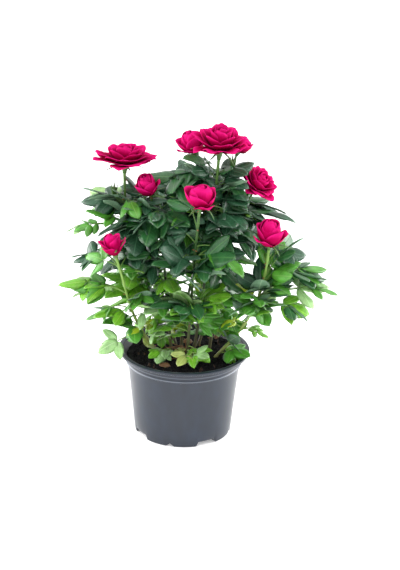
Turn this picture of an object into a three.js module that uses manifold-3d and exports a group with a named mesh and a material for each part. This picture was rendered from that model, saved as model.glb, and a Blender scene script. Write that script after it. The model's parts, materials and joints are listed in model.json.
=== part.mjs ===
// A small rose bush in full flower, growing in a round plastic nursery pot.
//
// The pot holds a plug of soil. Canes rise out of the soil, each to the base of its own flower or into
// the foliage behind, and the leaves are gathered in uneven masses round the canes.
// Millimetres, +Z up, with the origin at the centre of the pot's underside. A bearing is an angle in
// degrees seen from above: 0 lies along +X (the right), 90 along +Y (the back), -90 is the front.
import * as THREE from "three";
import { mergeVertices } from "three/addons/utils/BufferGeometryUtils.js";
import Module from "manifold-3d";

const wasm = await Module();
wasm.setup();

// ---- Driving dimensions ----

const GAP = 0.4; // clear space kept between pieces that meet

const POT = {
  rimRadius: 65,
  rimHeight: 86.4,
  lipWidth: 4.6, // flat top of the rim, from its outer edge inwards
  lipThickness: 2.6,
  collarRadius: 57.2, // the upright band under the rim
  ridgeHeight: 73.3, // the fine step round the pot below the collar
  ridgeProud: 1.1,
  shoulderRadius: 55.7, // the wall just under the ridge
  footRadius: 47.9,
  wall: 1.4,
  floor: 1.8,
  segments: 36,
};

// Four low channels let water out under the pot, and a small notch marks the middle of each foot.
const CHANNEL = { count: 4, bearing: -59, height: 4.6, outerWidth: 22.5, slope: 2.2, start: 34 };
const NOTCH = { height: 3, width: 7.6, start: 43 };
const CUT_END = 60; // radius at which the channels and notches run out past the wall

const SOIL = { top: 78, edgeGap: 0.3, segments: 28 };

const CANE = { footRadius: 2.1, tipRadius: 1.25, sides: 6, steps: 8, reach: 0.36 };

// Flower heads. Columns: name, base where the cane ends, the direction it faces, radius, height and
// kind: "open" is a wide flat flower, "cup" a half-open one, "bud" a bud showing colour.
const BLOOMS = [
  ["bloom_top", [29, -9, 285], [0.06, -0.16, 1], 26.5, 34, "open"],
  ["bloom_top_left", [9, 14, 279], [-0.42, 0.05, 1], 15, 27, "cup"],
  ["bloom_top_right", [45, 13, 281], [0.45, 0.1, 1], 12, 21, "cup"],
  ["bloom_left", [-60, -4, 268], [0.03, -0.1, 1], 30.5, 26, "open"],
  ["bloom_right", [60, 10, 247], [0.72, -0.42, 1], 20.5, 27, "open"],
  ["bud_inner_left", [-35, -6, 245], [-0.3, -0.25, 1], 11.5, 23, "bud"],
  ["bloom_front", [12, -58, 249], [0.08, -0.2, 1], 17, 27, "cup"],
  ["bloom_right_low", [78, -42, 207], [0.04, -0.2, 1], 15.5, 31, "cup"],
  ["bud_left_low", [-65, -45, 195], [-0.3, -0.12, 1], 12.5, 27, "bud"],
].map(([name, base, lean, radius, height, shape]) => ({ name, base, lean, radius, height, shape }));

// Outline of each kind of flower head as [share of radius, share of height], from the hip to the top.
const HEAD_OUTLINES = {
  open: [[0.1, 0.02], [0.13, 0.14], [0.22, 0.24], [0.66, 0.36], [1, 0.5], [0.82, 0.66], [0.6, 0.92],
    [0.3, 1]],
  cup: [[0.14, 0.02], [0.22, 0.12], [0.45, 0.22], [0.86, 0.42], [1, 0.62], [0.9, 0.84], [0.5, 1]],
  bud: [[0.2, 0.02], [0.3, 0.12], [0.55, 0.24], [0.92, 0.44], [1, 0.62], [0.78, 0.84], [0.36, 1]],
};
const PETAL_LOBES = 5;
const PETAL_WAVE = 0.1; // how far the five outer petals swell and pinch the head's edge
const HEAD_SEGMENTS = 12;

// Each flowering cane: where it leaves the soil, which way it leans there, and the flower it carries.
const FLOWERING_CANES = [
  { name: "cane_left", foot: [-27, 4], lean: [-0.75, -0.3, 1], bloom: "bud_left_low" },
  { name: "cane_left_tall", foot: [-20, 15], lean: [-0.3, 0.05, 1], bloom: "bloom_left" },
  { name: "cane_inner_left", foot: [-12, -5], lean: [-0.12, -0.1, 1], bloom: "bud_inner_left" },
  { name: "cane_centre_left", foot: [-3, 8], lean: [-0.05, -0.02, 1], bloom: "bloom_top_left" },
  { name: "cane_centre", foot: [9, -3], lean: [0.14, 0.02, 1], bloom: "bloom_top" },
  { name: "cane_front", foot: [3, -15], lean: [0.05, -0.3, 1], bloom: "bloom_front" },
  { name: "cane_centre_right", foot: [25, 10], lean: [0.16, 0.1, 1], bloom: "bloom_right" },
  { name: "cane_right", foot: [31, -6], lean: [0.95, -0.15, 1], bloom: "bloom_right_low" },
];

// Canes without a flower, which end inside the foliage at the back.
const LEAFY_CANES = [
  { name: "cane_back_left", foot: [-9, 22], lean: [-0.3, 0.35, 1], tip: [-38, 52, 222] },
  { name: "cane_back_right", foot: [14, 22], lean: [0.3, 0.35, 1], tip: [46, 54, 224] },
];

// Masses of leaves, by where they sit on the crown. Columns: name, bearing, reach from the axis and
// height of the middle, then length, width and depth of the mass, and the rise of its length in
// degrees. The length points outwards along the bearing.
const FOLIAGE = [
  ["top_left", 172, 36, 256, 52, 46, 22, 4],
  ["top_centre", 0, 7, 266, 44, 46, 24, 0],
  ["top_right", -6, 48, 267, 44, 40, 22, 8],
  ["top_back", 69, 44, 257, 48, 52, 28, 0],
  ["right_shoulder", 4, 74, 241, 44, 38, 20, -14],
  ["left_shoulder", 178, 84, 246, 34, 38, 34, 0],
  ["left_high", 180, 102, 214, 32, 28, 18, -32],
  ["left_inner_high", -172, 70, 221, 36, 40, 28, -10],
  ["front_left_high", -134, 49, 237, 46, 48, 36, -10],
  ["front_high", -83, 26, 231, 44, 46, 34, -5],
  ["front_right_high", -34, 55, 238, 48, 48, 34, -8],
  ["back_left_high", 125, 58, 230, 60, 56, 38, -8],
  ["back_right_high", 48, 62, 232, 60, 56, 38, -8],
  ["left_mid", -171, 94, 192, 36, 32, 24, -12],
  ["left_inner", -152, 52, 194, 46, 48, 40, -6],
  ["front_mid", -97, 56, 206, 54, 58, 42, -8],
  ["front_right_mid", -52, 64, 210, 54, 54, 42, -8],
  ["right_mid", -9, 92, 202, 44, 42, 42, -5],
  ["back_left_mid", 150, 76, 186, 60, 58, 42, -10],
  ["back_mid", 90, 66, 190, 66, 62, 44, -8],
  ["back_right_mid", 37, 80, 190, 64, 58, 42, -10],
  ["left_spray", -168, 94, 164, 56, 32, 19, 2],
  ["left_low_spray", -165, 82, 138, 38, 32, 24, -14],
  ["front_left_low", -132, 48, 160, 48, 48, 36, -8],
  ["front_low", -79, 51, 160, 48, 58, 36, -8],
  ["front_right_low", -35, 68, 162, 56, 52, 36, -8],
  ["right_spray", 0, 115, 176, 52, 26, 12, 6],
  ["right_tip", -5, 125, 160, 46, 28, 15, 2],
  ["right_low_spray", -17, 104, 149, 48, 34, 22, -16],
  ["back_left_low", 132, 64, 144, 58, 54, 34, -10],
  ["back_right_low", 50, 68, 144, 58, 54, 34, -10],
  ["pale_left", -160, 74, 103, 38, 22, 15, -38],
  ["small_right", -19, 76, 117, 22, 20, 20, -10],
  ["pot_left", -137, 28, 93, 32, 30, 16, -4],
  ["pot_right", -22, 54, 94, 28, 26, 11, -6],
  ["pot_front", -80, 46, 97, 26, 32, 18, -16],
  ["low_right", -12, 42, 121, 34, 30, 24, 0],
  ["low_left", -135, 24, 120, 40, 34, 24, 0],
];
const UNEVENNESS = 0.13; // how far lumps stand out of a mass, as a share of its size
const SMALL_MASS = 52; // a mass no longer than this is made with fewer faces

const COLOURS = {
  pot: 0x4c5560,
  soil: 0x241a14,
  cane: 0x6f9148,
  foliage: 0x2f5a34,
  bloom: 0xd0065c,
};

// ---- Solids and meshes ----

// A closed three.js geometry as a manifold-3d solid.
function solidOf(geometry) {
  geometry.deleteAttribute("normal");
  geometry.deleteAttribute("uv");
  const merged = mergeVertices(geometry, 1e-4);
  return new wasm.Manifold(
    new wasm.Mesh({
      numProp: 3,
      vertProperties: new Float32Array(merged.attributes.position.array),
      triVerts: new Uint32Array(merged.index.array),
    }),
  );
}

function meshOf(solid, name, colour, roughness) {
  const { numProp, vertProperties, triVerts } = solid.getMesh();
  const positions = new Float32Array((vertProperties.length / numProp) * 3);
  for (let i = 0; i * numProp < vertProperties.length; i++) {
    positions.set(vertProperties.subarray(i * numProp, i * numProp + 3), i * 3);
  }
  const geometry = new THREE.BufferGeometry();
  geometry.setAttribute("position", new THREE.BufferAttribute(positions, 3));
  geometry.setIndex(new THREE.BufferAttribute(triVerts, 1));
  geometry.computeVertexNormals();
  const material = new THREE.MeshStandardMaterial({ color: colour, roughness, metalness: 0 });
  const mesh = new THREE.Mesh(geometry, material);
  mesh.name = name;
  return mesh;
}

// The largest of the bodies that a cut leaves.
function mainBody(solid) {
  return solid.decompose().sort((a, b) => b.volume() - a.volume())[0];
}

function turned(profile, segments) {
  const points = profile.map(([radius, height]) => new THREE.Vector2(radius, height));
  return solidOf(new THREE.LatheGeometry(points, segments).rotateX(Math.PI / 2));
}

function polar(bearing, reach, height) {
  const angle = THREE.MathUtils.degToRad(bearing);
  return new THREE.Vector3(reach * Math.cos(angle), reach * Math.sin(angle), height);
}

// ---- Pot and soil ----

// A point on the outer wall between foot and ridge, moved inwards by a given thickness.
function wallRadius(height, inset) {
  const share = height / POT.ridgeHeight;
  return THREE.MathUtils.lerp(POT.footRadius, POT.shoulderRadius, share) - inset;
}

// The outside of the pot from the foot to the outer edge of the rim.
function outerProfile() {
  const { rimRadius, rimHeight, lipThickness, collarRadius, ridgeHeight, ridgeProud } = POT;
  return [
    [wallRadius(0, 0.8), 0],
    [wallRadius(1, 0), 1],
    [wallRadius(ridgeHeight - 1.2, 0), ridgeHeight - 1.2],
    [POT.shoulderRadius + ridgeProud, ridgeHeight],
    [collarRadius - 0.4, ridgeHeight + 1.6],
    [collarRadius, rimHeight - lipThickness - 3.4],
    [collarRadius + 2.6, rimHeight - lipThickness - 0.8],
    [rimRadius - 1, rimHeight - lipThickness],
    [rimRadius, rimHeight - lipThickness * 0.45],
    [rimRadius - 1.1, rimHeight],
  ];
}

// The inside from the inner edge of the rim down to the floor, moved inwards by inset.
function innerProfile(inset) {
  const { rimRadius, rimHeight, lipWidth, collarRadius, ridgeHeight, wall, floor } = POT;
  return [
    [rimRadius - lipWidth - inset, rimHeight - 0.3],
    [collarRadius + 0.6 - inset, rimHeight - 3.6],
    [collarRadius - wall - inset, rimHeight - 7],
    [wallRadius(ridgeHeight, wall + inset), ridgeHeight - 1],
    [wallRadius(floor, wall + inset + 1), floor + inset],
  ];
}

// A bar with sloping flanks that lies along a bearing with its flat side down, from start to CUT_END.
function radialBar(bearing, start, bottomWidth, topWidth, height, grow) {
  const outline = new THREE.Shape();
  outline.moveTo(-bottomWidth / 2 - grow, -2);
  outline.lineTo(bottomWidth / 2 + grow, -2);
  outline.lineTo(bottomWidth / 2 + grow, 0);
  outline.lineTo(topWidth / 2 + grow, height + grow);
  outline.lineTo(-topWidth / 2 - grow, height + grow);
  outline.lineTo(-bottomWidth / 2 - grow, 0);
  outline.closePath();
  const depth = CUT_END - start + grow;
  const bar = new THREE.ExtrudeGeometry(outline, { depth, bevelEnabled: false });
  bar.rotateX(Math.PI / 2).rotateZ(Math.PI / 2).translate(start - grow, 0, 0);
  return solidOf(bar.rotateZ(THREE.MathUtils.degToRad(bearing)));
}

function channels(grow) {
  const { count, bearing, start, outerWidth, slope, height } = CHANNEL;
  const bars = Array.from({ length: count }, (_, k) =>
    radialBar(bearing + (360 / count) * k, start, outerWidth, outerWidth - 2 * slope, height, grow),
  );
  return bars.reduce((all, bar) => all.add(bar));
}

function notches(grow) {
  const { count, bearing } = CHANNEL;
  const { start, width, height } = NOTCH;
  const bars = Array.from({ length: count }, (_, k) =>
    radialBar(bearing + (360 / count) * (k + 0.5), start, width, 0.4, height, grow),
  );
  return bars.reduce((all, bar) => all.add(bar));
}

function makePot() {
  const outside = turned([[0, 0], ...outerProfile(), [0, POT.rimHeight]], POT.segments);
  const inner = innerProfile(0);
  const floorEdge = inner.at(-1);
  const mouth = [inner[0][0], POT.rimHeight + 5];
  const inside = turned([[0, floorEdge[1]], floorEdge, ...inner.slice(0, -1).reverse(), mouth, [0, mouth[1]]],
    POT.segments);
  const cavity = inside.subtract(channels(POT.floor)).subtract(notches(POT.floor));
  return outside.subtract(cavity).subtract(channels(0)).subtract(notches(0));
}

function makeSoil() {
  const inner = innerProfile(SOIL.edgeGap);
  const floorEdge = inner.at(-1);
  const wallTop = inner.at(-2);
  const plug = turned([[0, floorEdge[1]], floorEdge, wallTop, [wallTop[0], SOIL.top], [0, SOIL.top]],
    SOIL.segments);
  return plug.subtract(channels(POT.floor + SOIL.edgeGap)).subtract(notches(POT.floor + SOIL.edgeGap));
}

// The space taken by pot and soil together, with the gap round it, which the foliage stays out of.
function potKeepOut() {
  const outer = outerProfile().map(([radius, height]) => [radius + GAP, height]);
  const { rimHeight, rimRadius, lipWidth, collarRadius } = POT;
  const top = [[rimRadius, rimHeight + GAP], [rimRadius - lipWidth - GAP, rimHeight + GAP]];
  const down = [[collarRadius, rimHeight - 3.6], [collarRadius - 2, SOIL.top + GAP], [0, SOIL.top + GAP]];
  return turned([[0, -1], ...outer.slice(0, -1), ...top, ...down], 36);
}

// ---- Canes ----

// A round limb along a curve, tapering from foot to tip. grow makes it thicker and longer all round.
function limb(curve, grow) {
  const rod = new THREE.CylinderGeometry(1, 1, 1, CANE.sides, CANE.steps);
  const frames = curve.computeFrenetFrames(CANE.steps, false);
  const position = rod.attributes.position;
  for (let i = 0; i < position.count; i++) {
    const share = position.getY(i) + 0.5;
    const step = Math.round(share * CANE.steps);
    const radius = THREE.MathUtils.lerp(CANE.footRadius, CANE.tipRadius, share) + grow;
    const point = curve.getPointAt(step / CANE.steps);
    point.addScaledVector(frames.normals[step], position.getX(i) * radius);
    point.addScaledVector(frames.binormals[step], -position.getZ(i) * radius);
    if (step === 0) point.addScaledVector(frames.tangents[0], -grow);
    if (step === CANE.steps) point.addScaledVector(frames.tangents[step], grow);
    position.setXYZ(i, point.x, point.y, point.z);
  }
  const solid = solidOf(rod);
  if (solid.volume() > 0) return solid;
  throw new Error("a limb is inside out");
}

function caneCurve(foot, lean, tip, tipLean) {
  const start = new THREE.Vector3(foot[0], foot[1], SOIL.top + CANE.footRadius + GAP);
  const end = new THREE.Vector3(...tip);
  const bow = start.distanceTo(end) * CANE.reach;
  const leave = new THREE.Vector3(...lean).normalize().multiplyScalar(bow);
  const arrive = new THREE.Vector3(...tipLean).normalize().multiplyScalar(bow);
  return new THREE.CubicBezierCurve3(start, start.clone().add(leave), end.clone().sub(arrive), end);
}

function caneCurves() {
  const flowering = FLOWERING_CANES.map(({ name, foot, lean, bloom }) => {
    const head = BLOOMS.find((b) => b.name === bloom);
    return { name, curve: caneCurve(foot, lean, head.base, head.lean) };
  });
  const upright = [0, 0, 1];
  const leafy = LEAFY_CANES.map(({ name, foot, lean, tip }) => ({
    name,
    curve: caneCurve(foot, lean, tip, upright),
  }));
  return [...flowering, ...leafy];
}

// ---- Flower heads ----

function flowerHead({ base, lean, radius, height, shape }, grow) {
  const outline = HEAD_OUTLINES[shape].map(([r, h]) => [r * radius + grow, h * height + GAP]);
  const bottom = [0, outline[0][1] - grow];
  const top = [0, outline.at(-1)[1] + grow];
  const points = [bottom, ...outline, top].map(([r, h]) => new THREE.Vector2(r, h));
  const head = new THREE.LatheGeometry(points, HEAD_SEGMENTS).rotateX(Math.PI / 2);
  const position = head.attributes.position;
  for (let i = 0; i < position.count; i++) {
    const angle = Math.atan2(position.getY(i), position.getX(i));
    const open = THREE.MathUtils.smoothstep(position.getZ(i) / height, 0.25, 0.5);
    const swell = 1 + PETAL_WAVE * open * Math.cos(PETAL_LOBES * angle + radius);
    position.setXY(i, position.getX(i) * swell, position.getY(i) * swell);
  }
  const up = new THREE.Vector3(0, 0, 1);
  const facing = new THREE.Quaternion().setFromUnitVectors(up, new THREE.Vector3(...lean).normalize());
  head.applyQuaternion(facing).translate(...base);
  return solidOf(head);
}

// ---- Foliage ----

// A row of FOLIAGE as a centre, a turn and half sizes.
function placed([name, bearing, reach, height, length, width, depth, rise]) {
  const turn = new THREE.Matrix4()
    .makeRotationZ(THREE.MathUtils.degToRad(bearing))
    .multiply(new THREE.Matrix4().makeRotationY(THREE.MathUtils.degToRad(-rise)));
  return {
    name: "foliage_" + name,
    centre: polar(bearing, reach, height),
    turn,
    half: new THREE.Vector3(length / 2, width / 2, depth / 2),
    detail: length > SMALL_MASS ? 2 : 1,
  };
}

// Lumps on a mass, as a share of its size, in the direction given. Each mass has its own phase.
function lumps(direction, phase) {
  const { x, y, z } = direction;
  const broad = Math.sin(3.1 * x + phase) * Math.sin(2.7 * y + 2 * phase);
  const fine = Math.sin(5.3 * y + 3 * phase) * Math.cos(4.7 * z + 1.7 * x + phase);
  return UNEVENNESS * (0.6 * broad + 0.4 * fine);
}

function unevenMass({ centre, turn, half, detail }, phase) {
  const ball = mergeVertices(stripped(new THREE.IcosahedronGeometry(1, detail)));
  const position = ball.attributes.position;
  const point = new THREE.Vector3();
  for (let i = 0; i < position.count; i++) {
    point.fromBufferAttribute(position, i).normalize();
    point.multiplyScalar(1 + lumps(point, phase)).multiply(half);
    position.setXYZ(i, point.x, point.y, point.z);
  }
  return solidOf(ball.applyMatrix4(turn).translate(centre.x, centre.y, centre.z));
}

function stripped(geometry) {
  geometry.deleteAttribute("normal");
  geometry.deleteAttribute("uv");
  return geometry;
}

// How far a mass reaches from its centre along a direction.
function supportAlong({ turn, half }, direction) {
  const local = direction.clone().applyMatrix4(turn.clone().transpose()).multiply(half);
  return local.length() * (1 + UNEVENNESS);
}

// The solid with everything past a plane cut off; the normal points to the side that goes.
function cutBeyond(solid, point, normal) {
  const side = 300;
  const block = new THREE.BoxGeometry(side, side, side).translate(0, 0, side / 2);
  block.applyQuaternion(new THREE.Quaternion().setFromUnitVectors(new THREE.Vector3(0, 0, 1), normal));
  return solid.subtract(solidOf(block.translate(point.x, point.y, point.z)));
}

// Neighbouring masses meet at a flat seam, nearer to the smaller of the two.
function seamCuts(mass, others) {
  return others
    .filter((other) => other !== mass)
    .map((other) => {
      const normal = other.centre.clone().sub(mass.centre);
      const distance = normal.length();
      normal.normalize();
      const own = supportAlong(mass, normal);
      const theirs = supportAlong(other, normal);
      if (own + theirs <= distance) return null;
      const reach = (distance * own) / (own + theirs) - GAP / 2;
      return { point: mass.centre.clone().addScaledVector(normal, reach), normal };
    })
    .filter(Boolean);
}

function boxesMeet(a, b) {
  return [0, 1, 2].every((k) => a.min[k] <= b.max[k] && b.min[k] <= a.max[k]);
}

function makeFoliage(keepOut) {
  const masses = FOLIAGE.map(placed);
  return masses.map((mass, index) => {
    let solid = unevenMass(mass, index);
    for (const { point, normal } of seamCuts(mass, masses)) solid = cutBeyond(solid, point, normal);
    for (const other of keepOut) {
      if (boxesMeet(solid.boundingBox(), other.boundingBox())) solid = solid.subtract(other);
    }
    return { name: mass.name, solid: mainBody(solid) };
  });
}

// ---- The plant in its pot ----

function makePlant() {
  const plant = new THREE.Group();
  plant.name = "potted_rose";

  plant.add(meshOf(makePot(), "pot", COLOURS.pot, 0.45));
  plant.add(meshOf(makeSoil(), "soil", COLOURS.soil, 0.95));

  const canes = new THREE.Group();
  const curves = caneCurves();
  for (const { name, curve } of curves) {
    canes.add(meshOf(limb(curve, 0), name, COLOURS.cane, 0.6));
  }

  const flowers = new THREE.Group();
  for (const bloom of BLOOMS) {
    flowers.add(meshOf(flowerHead(bloom, 0), bloom.name, COLOURS.bloom, 0.7));
  }

  const keepOut = [
    potKeepOut(),
    ...curves.map(({ curve }) => limb(curve, GAP)),
    ...BLOOMS.map((bloom) => flowerHead(bloom, GAP)),
  ];
  const foliage = new THREE.Group();
  for (const { name, solid } of makeFoliage(keepOut)) {
    foliage.add(meshOf(solid, name, COLOURS.foliage, 0.7));
  }

  plant.add(canes, flowers, foliage);
  return plant;
}

export default makePlant();
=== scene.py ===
"""A small rose bush in full flower, in its nursery pot, grown round its plain solid model."""
import json
import math
import random

import bpy
import numpy as np
from mathutils import Matrix, Quaternion, Vector, noise

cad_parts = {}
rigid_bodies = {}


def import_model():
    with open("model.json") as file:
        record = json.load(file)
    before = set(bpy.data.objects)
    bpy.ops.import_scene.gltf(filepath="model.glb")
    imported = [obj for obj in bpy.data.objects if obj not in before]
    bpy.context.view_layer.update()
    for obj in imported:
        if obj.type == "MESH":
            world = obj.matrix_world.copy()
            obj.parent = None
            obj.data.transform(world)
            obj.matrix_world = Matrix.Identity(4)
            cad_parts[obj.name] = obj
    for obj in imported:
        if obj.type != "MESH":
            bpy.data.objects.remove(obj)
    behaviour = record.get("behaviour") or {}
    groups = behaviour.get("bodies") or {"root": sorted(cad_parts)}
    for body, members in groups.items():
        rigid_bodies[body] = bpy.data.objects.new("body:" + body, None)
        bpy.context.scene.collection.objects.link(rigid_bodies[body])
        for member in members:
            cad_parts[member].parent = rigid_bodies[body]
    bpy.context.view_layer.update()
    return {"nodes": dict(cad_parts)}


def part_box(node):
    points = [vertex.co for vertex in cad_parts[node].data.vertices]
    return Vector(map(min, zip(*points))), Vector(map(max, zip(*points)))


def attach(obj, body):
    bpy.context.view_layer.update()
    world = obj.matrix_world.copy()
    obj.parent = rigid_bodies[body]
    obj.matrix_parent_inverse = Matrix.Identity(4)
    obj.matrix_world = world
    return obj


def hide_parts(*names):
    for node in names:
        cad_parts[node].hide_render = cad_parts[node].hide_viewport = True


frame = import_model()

cad = frame["nodes"]
MM = 0.001
UP = Vector((0, 0, 1))


# ---- Studio ----
# The plant stands on a pale light table in a white room. Soft light falls from overhead, from a bank
# in front and from a panel on each side, and the plant is seen from a little above with a long lens.

def shader(name, colour, roughness, **sockets):
    """A material whose Principled shader is returned too, so that its pattern can be wired in."""
    material = bpy.data.materials.new(name)
    material.use_nodes = True
    principled = material.node_tree.nodes["Principled BSDF"]
    principled.inputs["Base Color"].default_value = colour
    principled.inputs["Roughness"].default_value = roughness
    for socket, value in sockets.items():
        principled.inputs[socket.replace("_", " ")].default_value = value
    return material, principled


view_distance = 1.6
view_rise = math.radians(21.2)
view_tilt = math.radians(1.42)
view_aim = Vector((0.0142, 0.0, 0.1531))
view_offset = Vector((0.0, -math.cos(view_rise), math.sin(view_rise))) * view_distance
camera_data = bpy.data.cameras.new("camera")
camera_data.sensor_width = 36.0
camera_data.lens = 103.5
camera = bpy.data.objects.new("camera", camera_data)
camera.rotation_mode = "QUATERNION"
camera.location = view_aim + view_offset
camera.rotation_quaternion = (-view_offset).to_track_quat("-Z", "Y") @ Quaternion((0, 0, 1), view_tilt)
bpy.context.scene.collection.objects.link(camera)
bpy.context.scene.camera = camera
bpy.context.scene.view_settings.view_transform = "Standard"

room = bpy.data.worlds.new("white_room")
room.use_nodes = True
room.node_tree.nodes["Background"].inputs["Color"].default_value = (1.0, 1.0, 1.0, 1.0)
room.node_tree.nodes["Background"].inputs["Strength"].default_value = 1.0
bpy.context.scene.world = room

lamp_aim = Vector((0, 0, 0.16))
for name, place, width, power in (
    ("bank_front", (-0.5, -1.2, 1.1), 0.9, 4.0),
    ("panel_left", (-0.9, 0.3, 0.25), 0.9, 16.0),
    ("panel_right", (0.9, 0.3, 0.25), 0.9, 16.0),
):
    lamp = bpy.data.lights.new(name, "AREA")
    lamp.size = width
    lamp.energy = power
    panel = bpy.data.objects.new(name, lamp)
    panel.location = place
    panel.rotation_mode = "QUATERNION"
    panel.rotation_quaternion = (lamp_aim - Vector(place)).to_track_quat("-Z", "Y")
    bpy.context.scene.collection.objects.link(panel)

ceiling = bpy.data.lights.new("ceiling", "SUN")  # one broad soft source that lights the table evenly
ceiling.angle = math.radians(50)
ceiling.energy = 0.95
ceiling_lamp = bpy.data.objects.new("ceiling", ceiling)
ceiling_lamp.rotation_euler = (math.radians(14), math.radians(-6), 0)
bpy.context.scene.collection.objects.link(ceiling_lamp)

table_mesh = bpy.data.meshes.new("table")
table_edge = 6.0
table_drop = -0.3 * MM  # just under the foot of the pot, so that the two don't share a plane
table_mesh.from_pydata(
    [(x * table_edge, y * table_edge, table_drop) for x, y in ((-1, -1), (1, -1), (1, 1), (-1, 1))],
    [],
    [(0, 1, 2, 3)],
)
table = bpy.data.objects.new("table", table_mesh)
bpy.context.scene.collection.objects.link(table)
table_white, _ = shader("table_white", (0.95, 0.95, 0.95, 1.0), 0.8, Specular_IOR_Level=0.1,
                        Emission_Color=(1.0, 1.0, 1.0, 1.0), Emission_Strength=0.32)
table_mesh.materials.append(table_white)


# ---- Pot ----
# A thin nursery pot of dark blue-grey plastic, formed in one piece: a rim rolled outwards, a plain
# collar over one fine step, a tapering wall, and a foot pressed up into drain channels and nicks.

def linear(red, green, blue):
    """A paint colour given in the usual 0 to 255 steps, as the shader's own linear colour."""
    steps = (red / 255, green / 255, blue / 255)
    return (*[s / 12.92 if s <= 0.04045 else ((s + 0.055) / 1.055) ** 2.4 for s in steps], 1.0)


def node_in(tree, kind, inputs=None, **settings):
    """A new node. An input is either another node's output, which is linked, or a plain value."""
    node = tree.nodes.new(kind)
    for setting, value in settings.items():
        setattr(node, setting, value)
    for socket, value in (inputs or {}).items():
        if isinstance(value, bpy.types.NodeSocket):
            tree.links.new(value, node.inputs[socket])
        else:
            node.inputs[socket].default_value = value
    return node


def maths(tree, operation, *values):
    """The result of a Math node on up to three values."""
    return node_in(tree, "ShaderNodeMath", dict(enumerate(values)), operation=operation).outputs[0]


def remapped(tree, value, low, high, to_low, to_high):
    """A value carried from one range to another, and held at its ends."""
    return node_in(tree, "ShaderNodeMapRange", {
        "Value": value, "From Min": low, "From Max": high, "To Min": to_low, "To Max": to_high}).outputs[0]


def object_place(tree):
    """Where a point lies in the object's own space, in metres."""
    return node_in(tree, "ShaderNodeTexCoord").outputs["Object"]


def cloudy(tree, place, scale, detail, roughness=0.5):
    """Soft noise whose values lie about one half."""
    return node_in(tree, "ShaderNodeTexNoise", {
        "Vector": place, "Scale": scale, "Detail": detail, "Roughness": roughness}).outputs["Fac"]


def stretched(tree, place, scale):
    """A place scaled along each axis, for noise that is drawn out in one direction."""
    return node_in(tree, "ShaderNodeMapping", {"Vector": place, "Scale": scale}).outputs[0]


def raised(tree, principled, height, strength, distance):
    """Fine relief on a surface."""
    bump = node_in(tree, "ShaderNodeBump", {"Height": height, "Strength": strength, "Distance": distance})
    tree.links.new(bump.outputs[0], principled.inputs["Normal"])


def overlaid(tree, share, under, over):
    """One colour over another, by a share from 0 to 1."""
    mix = node_in(tree, "ShaderNodeMix", {"Factor": share}, data_type="RGBA")
    tree.links.new(under, mix.inputs["A"])
    mix.inputs["B"].default_value = over
    return mix.outputs["Result"]


def ramp(tree, factor, stops):
    """A colour ramp through (place, colour) stops."""
    node = node_in(tree, "ShaderNodeValToRGB", {"Fac": factor})
    elements = node.color_ramp.elements
    while len(elements) < len(stops):
        elements.new(0.5)
    for element, (place, colour) in zip(elements, stops):
        element.position = place
        element.color = colour
    return node.outputs["Color"]


def link(name, mesh):
    """An object for a finished mesh, at the origin."""
    piece = bpy.data.objects.new(name, mesh)
    bpy.context.scene.collection.objects.link(piece)
    return piece


def finish(piece, slot, *replaced):
    """Smooth shading, and the piece takes its place on the plant."""
    piece.data.polygons.foreach_set("use_smooth", [True] * len(piece.data.polygons))
    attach(piece, "root")
    if replaced:
        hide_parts(*replaced)


def rounded(corners, steps=4):
    """A profile through (radius, height, fillet) corners with each fillet drawn as a short curve."""
    points = []
    for before, corner, after in zip(corners[:-2], corners[1:-1], corners[2:]):
        here = Vector(corner[:2])
        back = Vector(before[:2]) - here
        ahead = Vector(after[:2]) - here
        reach = min(corner[2], back.length * 0.45, ahead.length * 0.45)
        start = here + back.normalized() * reach
        end = here + ahead.normalized() * reach
        for k in range(steps + 1):
            t = k / steps
            points.append((1 - t) ** 2 * start + 2 * t * (1 - t) * here + t**2 * end)
    return [Vector(corners[0][:2]), *points, Vector(corners[-1][:2])]


_, pot_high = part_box("pot")
rim_radius = pot_high.x / MM
rim_height = pot_high.z / MM
foot_radius = 47.9
step_height = rim_height - 13.1
pot_corners = [
    (0, 0, 0),
    (foot_radius, 0, 1.0),
    (55.6, step_height - 1.0, 0.3),
    (57.6, step_height - 0.3, 0.4),
    (57.6, step_height + 0.7, 0.5),
    (56.4, step_height + 1.7, 0.4),
    (56.6, step_height + 3.6, 0.3),
    (57.0, step_height + 4.0, 0.3),
    (56.9, step_height + 4.7, 0.3),
    (57.2, rim_height - 5.6, 2.0),
    (60.0, rim_height - 2.9, 1.6),
    (rim_radius - 0.4, rim_height - 2.5, 0.8),
    (rim_radius, rim_height, 0.9),
    (rim_radius - 4.6, rim_height - 0.1, 0.7),
    (57.7, rim_height - 3.8, 2.0),
    (55.8, rim_height - 7.4, 1.5),
    (54.2, step_height - 1.0, 1.0),
    (46.2, 1.8, 1.5),
    (0, 1.8, 0),
]
channel_height = 4.6
channel_reach = math.degrees(11.2 / foot_radius)
channel_flank = 2.6
channel_bearing = -59.0
nick_height = 3.0
nick_reach = math.degrees(3.8 / foot_radius)
floor_press = (33.0, 37.0)  # radii between which the floor rises into a channel
wall_press = 9.0  # height over which the wall takes up the pressed foot
quarter_turn = 90  # degrees from one channel to the next, with a nick halfway between


def pressed_foot(bearing, radius):
    """How far the foot is pressed up off the table at a bearing."""
    halfway = quarter_turn / 2
    from_channel = abs((bearing - channel_bearing + halfway) % quarter_turn - halfway)
    from_nick = halfway - from_channel
    channel = channel_height * min(1, max(0, (channel_reach - from_channel) / channel_flank))
    nick = nick_height * max(0, 1 - from_nick / nick_reach) * (radius > floor_press[1])
    inwards = min(1, max(0, (radius - floor_press[0]) / (floor_press[1] - floor_press[0])))
    return max(channel * inwards, nick)


def bands(first, rings, sides):
    """The faces that join each ring of points to the next one up, turn by turn."""
    return [(low + s, low + (s + 1) % sides, low + sides + (s + 1) % sides, low + sides + s)
            for low in range(first, first + rings * sides, sides) for s in range(sides)]


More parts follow.
